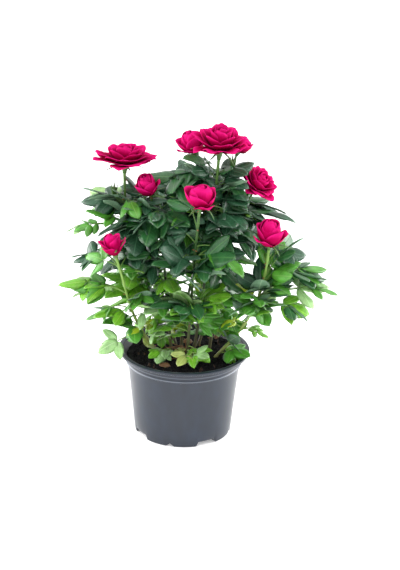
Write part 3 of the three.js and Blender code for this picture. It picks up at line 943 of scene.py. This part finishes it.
def leaf_to(tip, joints, leaf_span, outwards, blade, tint, turned=None):
    """Grows a leaf to a tip from whichever joint suits it best, or from its own length away."""

    def awkwardness(entry):
        """How badly a joint on a shoot or cane suits a leaf that ends at this tip."""
        p, _ = entry
        level = math.hypot(tip.x - p.x, tip.y - p.y)
        return (abs((tip - p).length - leaf_span) + 1.5 * max(0.0, p.z - tip.z)
                + 0.4 * max(0.0, abs(tip.z - p.z) - level))

    joint, rise = min(joints, key=awkwardness)
    reach = tip - joint
    if reach.length > longest_stalk * leaf_span:
        joint = tip - reach.normalized() * longest_stalk * leaf_span
    reach = (tip - joint).normalized()
    upright = (UP - reach * UP.dot(reach)).normalized()
    sway = Vector([rng.uniform(-0.5, 0.5) for _ in range(3)])
    face = (upright + outwards * rng.uniform(0.0, 0.7) + sway).normalized()
    if turned is not None:
        face = (upright * 0.4 + turned).normalized()
    pairs = 2 if (tip - joint).length > 1.5 * blade * MM and rng.random() < 0.55 else 1
    own_blade = blade * rng.uniform(0.85, 1.1) * MM
    compound_leaf(joint, reach + UP * 0.5 + rise * 0.3, tip, face, pairs, own_blade, tint)


for number, name in enumerate(foliage):
    points = np.array([v.co for v in cad[name].data.vertices])
    low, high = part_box(name)
    middle = (low + high) / 2
    outwards = Vector((middle.x, middle.y, 0))
    if outwards.length <= near_axis:
        outwards = Vector((0.3, -1, 0))
    outwards = outwards.normalized()
    size = high - low
    girth = (size.x * size.y * size.z) ** (1 / 3) / MM
    end_tip = furthest(points, outwards)
    lengthwise = (end_tip - furthest(points, -outwards)).normalized()
    if name in spray_plans:
        count, span, blade, tints = spray_plans[name]
    else:
        _, fill, span, blade, tints = next(plan for plan in height_plans if middle.z <= plan[0])
        count = min(len(leaf_headings), round(girth / fill))

    def effort(entry):
        """How unlikely a shoot is to grow from a point on a cane into this mass."""
        _, _, p = entry
        return (middle - p).length + 1.2 * max(0.0, p.z - middle.z + 0.25 * girth * MM)

    cane, k, root = min(cane_points, key=effort)
    rise = (canes[cane][k + 1] - canes[cane][max(k - 1, 0)]).normalized()
    shoot_end = end_tip - (end_tip - root).normalized().lerp(lengthwise, 0.5) * span * 0.85 * MM
    own_points = []
    if (shoot_end - root).length > shortest_shoot:
        leave = (rise * 0.6 + (shoot_end - root).normalized()).normalized()
        shoot = bowed(root, leave, shoot_end, lengthwise + UP * 0.25, 0.33, 14)
        shoot_lines.append((shoot, 1.0 * MM, 0.6 * MM))
        own_points = [(p, leave) for p in shoot[4:]]
    else:
        shoot_end = root

    rng.seed(crown_seed + number)
    stretch = (0.9, 1.3) if middle.z > high_growth else (0.72, 1.06)
    turned = leaves_turned.get(name)
    for leaf_number in range(count):
        leaf_span = span * rng.uniform(0.85, 1.15) * MM
        tint = tints[(leaf_number + number) % len(tints)]
        if leaf_number == 0:
            leaf_to(end_tip, [(shoot_end, rise)], leaf_span, outwards, blade, tint, turned)
            continue
        yaw, tilt = leaf_headings[leaf_number]
        heading = Quaternion(UP, math.radians(yaw + rng.uniform(-18, 18))) @ outwards
        heading = (heading + UP * (tilt + rng.uniform(-0.15, 0.15))).normalized()
        tip = middle + (furthest(points, heading) - middle) * rng.uniform(*stretch)
        tip.z = max(tip.z, low.z + 0.3 * size.z)
        leaf_to(tip, own_points + cane_joints, leaf_span, outwards, blade, tint, turned)

# Leaves that close the gap between two masses, in the same way.
for first, second, count, span, blade, tints in filling_leaves:
    ends = [sum(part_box(name), Vector()) / 2 for name in (first, second)]
    rng.seed(crown_seed + count)
    for number in range(count):
        tip = ends[0].lerp(ends[1], (number + 0.5) / count)
        tip += Vector([rng.uniform(-1, 1) for _ in range(3)]) * gap_scatter
        outwards = Vector((tip.x, tip.y, 0)).normalized()
        leaf_to(tip, cane_joints, span * rng.uniform(0.85, 1.15) * MM, outwards, blade,
                tints[number % len(tints)])

# Leaves that grow straight from the canes inside the plant, small and bright near the soil, where their
# bright tints are partly the young leaves' own fresh green and partly painted light that shines through
# them.
inner_tries = 84
inner_low, inner_high = 0.092, 0.245  # heights in metres of the joints that they grow from
backlit_below = 0.15
inner_reach, inner_top = 0.062, 0.252  # a leaf that would end outside these is left out
backlit_tints = ["fresh", "mid", "lime", "fresh", "pale", "mid"]
shaded_tints = ["deep", "mid", "dusk", "fresh"]
inner_joints = [entry for entry in cane_joints if inner_low < entry[0].z < inner_high]
rng.seed(crown_seed)
for number in range(inner_tries):
    joint, rise = rng.choice(inner_joints)
    low_down = joint.z < backlit_below
    heading = Vector((rng.uniform(-1, 1), rng.uniform(-1, 1), 0)).normalized()
    centre_out = Vector((joint.x, joint.y, 0))
    heading = (heading + centre_out.normalized() * 0.5 + UP * rng.uniform(0.1, 0.9)).normalized()
    span = rng.uniform(24, 36) if low_down else rng.uniform(34, 46)
    tip = joint + heading * span * MM
    if math.hypot(tip.x, tip.y) > inner_reach or tip.z > inner_top:
        continue
    lean = heading * rng.uniform(-0.4, 0.6)
    face = (UP + lean + Vector([rng.uniform(-0.5, 0.5) for _ in range(3)])).normalized()
    tints = backlit_tints if low_down else shaded_tints
    compound_leaf(joint, heading + rise * 0.4, tip, face, rng.choice((1, 1, 2)), span * 0.6 * MM,
                  tints[number % len(tints)])

# A few dry leaves have dropped on the soil and caught between the canes.
for place, heading in (
    ((0.030, 0.006, 0.094), (0.5, -0.2, 0.9)),
    ((-0.024, -0.032, 0.0815), (1, -0.3, 0.1)),
    ((0.008, 0.024, 0.083), (-0.8, -0.5, 0.2)),
):
    turn = turned_to(Vector(heading), Vector((0.2, -0.5, 1)))
    leaflets.append(("dry", Vector(place), turn, 12 * MM, 4))

# The smaller flower beside the top one shares its cane.
fork_step = 38
base, axis, _, _ = flowers["bloom_top_right"]
fork = canes["cane_centre"][fork_step]
branch = bowed(fork, UP + (base - fork).normalized(), base, axis, 0.35, 16)
shoot_lines.append((branch, 1.25 * MM, 0.95 * MM))


def kept_value(tree, name, kind):
    """A value that was kept on the points of a mesh."""
    node = node_in(tree, "GeometryNodeInputNamedAttribute", {"Name": name}, data_type=kind)
    return node.outputs["Attribute"]


stalk_tree, stalk_in, stalk_out = geometry_tree("stalks", [("Sides", "Int"), ("Material", "Material")])
strand = node_in(stalk_tree, "GeometryNodeMeshToCurve", {"Mesh": stalk_in["Geometry"]})
ring = node_in(stalk_tree, "GeometryNodeCurvePrimitiveCircle", {
    "Resolution": stalk_in["Sides"], "Radius": 1.0})
skin = node_in(stalk_tree, "GeometryNodeCurveToMesh", {
    "Curve": strand.outputs[0], "Profile Curve": ring.outputs["Curve"],
    "Scale": kept_value(stalk_tree, "thickness", "FLOAT"), "Fill Caps": True})
stalk_tree.links.new(made_real(stalk_tree, skin.outputs[0], stalk_in["Material"]), stalk_out["Geometry"])


def stalks(name, lines, sides, material):
    """Round stalks along some lines, each a tuple of points, first radius and last radius."""
    verts, edges, radii = [], [], []
    for points, thick, thin in lines:
        first = len(verts)
        verts.extend(points)
        edges.extend((first + k, first + k + 1) for k in range(len(points) - 1))
        radii.extend(thick + (thin - thick) * k / (len(points) - 1) for k in range(len(points)))
    mesh = bpy.data.meshes.new(name + "_source")
    mesh.from_pydata(verts, edges, [])
    mesh.attributes.new("thickness", "FLOAT", "POINT").data.foreach_set("value", radii)
    source = link(name + "_source", mesh)
    finish(grown(name, source, stalk_tree, {"Sides": sides, "Material": material}), "cane")
    bpy.data.objects.remove(source)


shoot_green = bark("shoot_green", (128, 156, 70), (104, 146, 62), (74, 112, 54))
stalk_green = bark("stalk_green", (140, 172, 84), (108, 150, 66), (72, 112, 58))
dry_brown = bark("dry_brown", (128, 88, 56), (150, 106, 66))
stalks("side_shoots", shoot_lines, 8, shoot_green)
stalks("leaf_stalks", stalk_lines, 6, stalk_green)

# Dry twigs lie about on the soil between the canes.
twig_count = 11
twig_lines = []
soil_middle = Vector((0.012, 0.0, soil_top * MM))
for number in range(twig_count):
    start = soil_middle + Vector((rng.uniform(-22, 24), rng.uniform(-14, 20), rng.uniform(2, 7))) * MM
    heading = Vector((rng.uniform(-1, 1), rng.uniform(-0.5, 0.5), rng.uniform(-0.05, 0.5))).normalized()
    end = start + heading * rng.uniform(14, 30) * MM
    bend = Vector([rng.uniform(-0.6, 0.6) for _ in range(3)])
    twig_lines.append((bowed(start, heading + bend, end, heading - bend, 0.35, 8), 0.55 * MM, 0.3 * MM))
stalks("dry_twigs", twig_lines, 6, dry_brown)

leaf_tree, leaf_in, leaf_out = geometry_tree("leaflets", [
    ("Shapes", "Collection"), ("Face", "Material"), ("Underside", "Material")])
shapes = node_in(leaf_tree, "GeometryNodeCollectionInfo", {
    "Collection": leaf_in["Shapes"], "Separate Children": True, "Reset Children": True})
placed_leaflets = node_in(leaf_tree, "GeometryNodeInstanceOnPoints", {
    "Points": leaf_in["Geometry"], "Instance": shapes.outputs[0], "Pick Instance": True,
    "Instance Index": kept_value(leaf_tree, "shape", "INT"),
    "Rotation": kept_value(leaf_tree, "turn", "QUATERNION"),
    "Scale": kept_value(leaf_tree, "length", "FLOAT")})
backed = node_in(leaf_tree, "GeometryNodeSetMaterial", {
    "Geometry": made_real(leaf_tree, placed_leaflets.outputs[0], leaf_in["Face"]),
    "Selection": kept_value(leaf_tree, "underside", "BOOLEAN"), "Material": leaf_in["Underside"]})
leaf_tree.links.new(backed.outputs[0], leaf_out["Geometry"])

vein_slant = -0.75  # how far the side veins run forward as they run out
vein_spacing = 58.0


def leaf_skin(name, colour, vein, roughness, relief):
    """A leaf surface with a paler midrib and side veins that run forward from it."""
    colour, vein = linear(*colour), linear(*vein)
    material, principled = shader(name, colour, roughness, Specular_IOR_Level=0.55)
    tree = material.node_tree
    blade = node_in(tree, "ShaderNodeUVMap", uv_map="blade").outputs["UV"]
    along, across, _ = node_in(tree, "ShaderNodeSeparateXYZ", {0: blade}).outputs
    out = maths(tree, "ABSOLUTE", maths(tree, "SUBTRACT", across, 0.5))
    slant = maths(tree, "MULTIPLY_ADD", out, vein_slant, along)
    ripple = maths(tree, "SINE", maths(tree, "MULTIPLY", slant, vein_spacing))
    side_vein = remapped(tree, ripple, 0.6, 1.0, 0.0, 0.22)
    midrib = remapped(tree, out, 0.006, 0.024, 0.75, 0.0)
    veins = maths(tree, "MAXIMUM", side_vein, midrib)
    dark = tuple(c * 0.72 for c in colour[:3]) + (1.0,)
    light = tuple(min(1.0, c * 1.3) for c in colour[:3]) + (1.0,)
    mottle = cloudy(tree, object_place(tree), 130.0, 3.0)
    mottled = ramp(tree, mottle, [(0.32, dark), (0.5, colour), (0.7, light)])
    tree.links.new(overlaid(tree, veins, mottled, vein), principled.inputs["Base Color"])
    raised(tree, principled, veins, relief, -0.0005)
    return material


leaf_tints = {  # the face of the leaf, and its veins
    "dusk": ((34, 75, 49), (74, 116, 88)),
    "deep": ((38, 92, 46), (78, 130, 70)),
    "mid": ((72, 142, 40), (112, 166, 72)),
    "fresh": ((104, 170, 36), (150, 198, 76)),
    "lime": ((164, 192, 36), (196, 212, 90)),
    "pale": ((146, 190, 120), (184, 216, 160)),
    "straw": ((168, 184, 98), (194, 206, 134)),
    "dry": ((116, 82, 54), (142, 108, 74)),
}
dull_tints = ("dusk", "deep", "mid")
under_dull = leaf_skin("under_dull", (98, 132, 104), (140, 168, 134), 0.62, -0.5)
under_fresh = leaf_skin("under_fresh", (140, 178, 112), (180, 208, 150), 0.62, -0.5)
for tint, (colour, vein) in leaf_tints.items():
    _, places, turns, lengths, numbers = zip(*[leaf for leaf in leaflets if leaf[0] == tint])
    mesh = bpy.data.meshes.new(f"leaf_points_{tint}")
    mesh.from_pydata(places, [], [])
    for label, kind, values in (("turn", "QUATERNION", [part for turn in turns for part in turn]),
                                ("length", "FLOAT", lengths), ("shape", "INT", numbers)):
        mesh.attributes.new(label, kind, "POINT").data.foreach_set("value", values)
    source = link(f"leaf_points_{tint}", mesh)
    leaves = grown(f"leaves_{tint}", source, leaf_tree, {
        "Shapes": leaf_shapes, "Face": leaf_skin(f"leaf_{tint}", colour, vein, 0.33, 0.5),
        "Underside": under_dull if tint in dull_tints else under_fresh})
    bpy.data.objects.remove(source)
    finish(leaves, "leaf", *foliage)
put_away(leaf_shapes)


# ---- Flowers ----
# Hot pink double roses. Each is built from its heart outwards, petal by petal: the first petals wrap
# round each other, the next stand as a cup, and in an open flower the last lie back and roll at the edge.

# Petal plans from heart to edge. Columns: petals in the whorl, then the lean from the axis at the
# petal's foot and at its tip in degrees, its length and half width as shares of the flower's own
# petal length, and how far its edge rolls back.
petal_plans = {
    "open": [(3, 10, -22, 0.74, 0.38, 0.0), (4, 24, -34, 0.78, 0.48, 0.1), (5, 36, -32, 0.82, 0.52, 0.25),
             (5, 46, -14, 0.86, 0.58, 0.35), (5, 54, 14, 0.9, 0.6, 0.4), (6, 60, 46, 0.96, 0.6, 0.35),
             (6, 66, 70, 1.02, 0.56, 0.3), (3, 72, 78, 0.98, 0.54, 0.25)],
    "cup": [(3, 20, -40, 0.82, 0.44, 0.0), (3, 38, -58, 0.97, 0.6, 0.0), (4, 54, -64, 0.98, 0.7, 0.0),
            (4, 62, -52, 0.94, 0.74, 0.1), (3, 66, -24, 0.86, 0.72, 0.5), (2, 72, 14, 0.76, 0.62, 0.9)],
    "bud": [(3, 12, -26, 0.88, 0.38, 0.0), (3, 28, -44, 1.0, 0.52, 0.0), (4, 40, -48, 0.96, 0.6, 0.1),
            (3, 46, -20, 0.88, 0.6, 0.6), (3, 52, 14, 0.78, 0.5, 1.0)],
}
GOLDEN_TURN = math.radians(137.5)
PETAL_ROWS, PETAL_COLUMNS = 10, 14
PETAL_STEPS, SPARE_STEPS = 36, 4  # steps along a petal's middle, and past its tip
ROLL_START = 0.72  # how far along a petal its edge begins to roll back


def petal(verts, faces, shares, start, bearing, lean_foot, lean_tip, length, half_width, roll, wobble):
    """Adds one petal: a sheet that follows a surface turned round the flower's axis."""
    line = [(start, 0.0)]  # distance from the axis and height, from the petal's foot to past its tip
    leans = []
    step = length / PETAL_STEPS
    for k in range(PETAL_STEPS + SPARE_STEPS):
        v = k / PETAL_STEPS
        lean = lean_foot + (lean_tip - lean_foot) * v**1.3
        lean += roll * 75 * max(0.0, v - ROLL_START) / (1 - ROLL_START)
        leans.append(math.radians(lean))
        rho, height = line[-1]
        line.append((rho + math.sin(leans[-1]) * step, height + math.cos(leans[-1]) * step))
    first = len(verts)
    phase = wobble.uniform(0, 6.28)
    ruffle = wobble.uniform(0.5, 1.0) * (0.015 + 0.1 * roll)
    point = 0.09 if lean_tip > 40 else 0.015  # petals that lie back are drawn out to a point
    for row in range(PETAL_ROWS + 1):
        v = row / PETAL_ROWS
        widen = 0.32 + 0.68 * math.sin(min(v / 0.66, 1) * math.pi / 2) - 0.16 * max(0.0, v - 0.7) / 0.3
        for column in range(PETAL_COLUMNS + 1):
            u = 2 * column / PETAL_COLUMNS - 1
            reach = v * (1 - 0.3 * abs(u) ** 2.6 + point * (1 - abs(u)) ** 4)
            k = min(int(reach * PETAL_STEPS), len(leans) - 1)
            share = reach * PETAL_STEPS - k
            rho = line[k][0] + (line[k + 1][0] - line[k][0]) * share
            height = line[k][1] + (line[k + 1][1] - line[k][1]) * share
            lean = leans[k]
            angle = bearing + u * half_width * length * widen / max(rho, 0.09)
            curl = roll * 0.16 * abs(u) ** 3 * v * length
            wave = ruffle * length * v * math.sin(5 * u + phase) + 0.03 * length * u * v - curl
            rho += math.cos(lean) * (-wave if lean_tip > 60 else wave)
            height += math.sin(lean) * wave
            verts.append(Vector((rho * math.cos(angle), rho * math.sin(angle), height)))
            shares.append((0.5 + 0.5 * u, v))
    for row in range(PETAL_ROWS):
        for column in range(PETAL_COLUMNS):
            a = first + row * (PETAL_COLUMNS + 1) + column
            faces.append((a, a + 1, a + PETAL_COLUMNS + 2, a + PETAL_COLUMNS + 1))


def petal_velvet():
    """Hot pink, with painted shade towards the foot of the petal, a painted highlight along its lip, and
    fine lengthwise veins.
    """
    material, principled = shader(
        "petal_velvet", linear(206, 0, 92), 0.75, Specular_IOR_Level=0.03, Sheen_Weight=0.01,
        Sheen_Roughness=0.5, Sheen_Tint=linear(255, 90, 170))
    tree = material.node_tree
    sheet = node_in(tree, "ShaderNodeUVMap", uv_map="petal").outputs["UV"]
    _, along, _ = node_in(tree, "ShaderNodeSeparateXYZ", {0: sheet}).outputs
    veins = cloudy(tree, stretched(tree, sheet, (46, 3, 1)), 1.0, 3.0)
    cloud = cloudy(tree, object_place(tree), 90.0, 2.0)
    stir = maths(tree, "MULTIPLY_ADD", veins, 0.16, maths(tree, "MULTIPLY", along, 0.82))
    share = maths(tree, "MULTIPLY_ADD", cloud, 0.24, stir)
    # the ramp paints shade towards the foot of the petal, deep in the flower, and a highlight along its lip
    colour = ramp(tree, share, [(0.12, linear(76, 0, 24)), (0.48, linear(134, 0, 50)),
                                (0.8, linear(168, 0, 72)), (0.98, linear(210, 22, 112))])
    tree.links.new(colour, principled.inputs["Base Color"])
    raised(tree, principled, veins, 0.25, 0.0003)
    return material


def head_frame(base, axis):
    """The place and turn of a flower head."""
    return Matrix.Translation(base) @ axis.to_track_quat("Z", "Y").to_matrix().to_4x4()


petal_thickness = 0.32 * MM
sector_count = 12  # the parts of a turn in which the reach of a flower's petals is measured
low_hearts = {"bloom_top": 0.9, "bloom_right": 0.9}  # flowers whose heart has sunk, and how far it stands
petal_pink = petal_velvet()
for number, (name, (kind, hip_share)) in enumerate(flower_kinds.items()):
    base, axis, radius, height = flowers[name]
    wobble = random.Random(100 + number)
    verts, faces, shares = [], [], []
    bearing, count = wobble.uniform(0, 6.28), 0
    for whorl, (petals, lean_foot, lean_tip, length, half_width, roll) in enumerate(petal_plans[kind]):
        for _ in range(petals):
            bearing += GOLDEN_TURN
            count += 1
            petal(verts, faces, shares, 0.012 + 0.005 * count, bearing,
                  lean_foot + wobble.uniform(-4, 4) * (whorl > 1),
                  lean_tip + wobble.uniform(-11, 11) * (whorl > 1), length * wobble.uniform(0.93, 1.04),
                  half_width * wobble.uniform(0.92, 1.06), roll, wobble)
    foot = hip_share * height
    sectors = [0.0] * sector_count
    for v in verts:
        sector = int((math.atan2(v.y, v.x) / math.tau % 1) * sector_count) % sector_count
        sectors[sector] = max(sectors[sector], math.hypot(v.x, v.y))
    spread = (sum(sectors) / sector_count + max(sectors)) / 2
    lowest, highest = min(v.z for v in verts), max(v.z for v in verts)
    rise = (height - foot) / (highest - lowest) * low_hearts.get(name, 1.0)
    where = head_frame(base, axis)
    verts = [where @ Vector((v.x * radius / spread, v.y * radius / spread, foot + (v.z - lowest) * rise))
             for v in verts]
    mesh = bpy.data.meshes.new(name + "_sheet")
    mesh.from_pydata(verts, [], faces)
    uv = mesh.uv_layers.new(name="petal")
    for loop in mesh.loops:
        uv.data[loop.index].uv = shares[loop.vertex_index]
    sheet = link(name + "_sheet", mesh)
    thickened = sheet.modifiers.new("thickened", "SOLIDIFY")
    thickened.thickness = petal_thickness
    thickened.offset = 0.0
    petals_mesh = plain_mesh(sheet)
    bpy.data.objects.remove(sheet)
    petals_mesh.materials.append(petal_pink)
    finish(link("petals_" + name, petals_mesh), "petal", name)


# ---- Hips and sepals ----
# Under each flower the cane swells into a smooth green hip, and five narrow sepals with long drawn-out
# points spread or hang from its top. Two unopened buds stand beside the larger flowers.

def hip(verts, faces, where, width, depth):
    """A closed urn that joins the cane to the petals."""
    outline = [(0.0, -0.35), (0.55, -0.3), (0.6, 0.0), (0.85, 0.3), (1.0, 0.6), (0.9, 0.9), (0.62, 1.05),
               (0.0, 1.1)]
    sides = 14
    first = len(verts)
    verts.append(where @ Vector((0, 0, outline[0][1] * depth)))
    for radius, height in outline[1:-1]:
        for s in range(sides):
            angle = math.tau * s / sides
            out = radius * width
            verts.append(where @ Vector((out * math.cos(angle), out * math.sin(angle), height * depth)))
    verts.append(where @ Vector((0, 0, outline[-1][1] * depth)))
    top = len(verts) - 1
    rings = len(outline) - 3
    last = first + 1 + rings * sides
    faces.extend(bands(first + 1, rings, sides))
    for s in range(sides):
        after = (s + 1) % sides
        faces.append((first, first + 1 + after, first + 1 + s))
        faces.append((top, last + s, last + after))


def sepal(verts, faces, where, bearing, start, length, width, lean_foot, lean_tip):
    """A narrow closed blade that tapers to a thread."""
    rho, height = start, 0.0
    rows = 10
    first = len(verts)
    for row in range(rows + 1):
        v = row / rows
        lean = math.radians(lean_foot + (lean_tip - lean_foot) * v)
        if row:
            rho += math.sin(lean) * length / rows
            height += math.cos(lean) * length / rows
        half = width * (0.6 + 0.9 * v) * max(0.05, 1 - v) ** 0.9 if v > 0.12 else width * 0.62
        thick = max(0.12 * MM, 0.3 * half)
        for across, lift in ((-1, 0), (0, 1), (1, 0), (0, -1)):
            angle = bearing + across * half / max(rho, 1.2 * MM)
            out = rho - math.cos(lean) * lift * thick * 0.5 + abs(across) * half * 0.25
            verts.append(where @ Vector((out * math.cos(angle), out * math.sin(angle),
                                         height + math.sin(lean) * lift * thick * 0.5)))
    faces.extend(turned_over(bands(first, rows, 4)))
    faces.append((first, first + 1, first + 2, first + 3))
    end = first + rows * 4
    faces.append((end + 3, end + 2, end + 1, end))


sepal_leans = {"open": (86, 114), "cup": (72, 118), "bud": (40, 36)}  # at the foot and at the tip
hip_verts, hip_faces = [], []
wobble = random.Random(9)
for name, (kind, hip_share) in flower_kinds.items():
    base, axis, radius, height = flowers[name]
    where = head_frame(base, axis)
    width = (2.0 + 0.05 * radius / MM) * MM
    depth = (hip_share + 0.04) * height
    hip(hip_verts, hip_faces, where, width, depth)
    collar = where @ Matrix.Translation((0, 0, depth * 0.85))
    lean_foot, lean_tip = sepal_leans[kind]
    for k in range(5):
        bearing = 2 * math.pi * (k + wobble.uniform(-0.12, 0.12)) / 5
        length = (15 + 0.35 * radius / MM) * MM * wobble.uniform(0.8, 1.15)
        sepal(hip_verts, hip_faces, collar, bearing, width * 0.75, length, 1.9 * MM,
              lean_foot + wobble.uniform(-10, 10), lean_tip + wobble.uniform(-25, 25))

# Unopened buds: the cane each grows from, the step of it beside the bud, and where the bud stands.
young_buds = [
    ("cane_left_tall", 50, Vector((-11, 3, 2)) * MM),
    ("cane_centre", 53, Vector((15, 10, 6)) * MM),
]
bud_stems = []
for cane, step, offset in young_buds:
    line = canes[cane]
    stand = line[step] + offset
    stem = bowed(line[step - 8], offset + UP * 10 * MM, stand, UP, 0.35, 10)
    bud_stems.append((stem, 0.9 * MM, 0.75 * MM))
    where = Matrix.Translation(stand)
    hip(hip_verts, hip_faces, where, 1.9 * MM, 4.2 * MM)
    hip(hip_verts, hip_faces, where @ Matrix.Translation((0, 0, 5 * MM)), 2.5 * MM, 6.5 * MM)
    collar = where @ Matrix.Translation((0, 0, 3.9 * MM))
    for k in range(5):
        bearing = 1.2566 * k + 0.4
        sepal(hip_verts, hip_faces, collar, bearing, 1.6 * MM, 13 * MM, 1.7 * MM, 16, -8 + 6 * k)

hip_green = bark("hip_green", (96, 130, 62), (84, 122, 58), (70, 106, 52))
hips_mesh = bpy.data.meshes.new("hips_and_sepals")
hips_mesh.from_pydata(hip_verts, [], hip_faces)
hips_mesh.materials.append(hip_green)
finish(link("hips_and_sepals", hips_mesh), "cane")
stalks("bud_stems", bud_stems, 8, shoot_green)
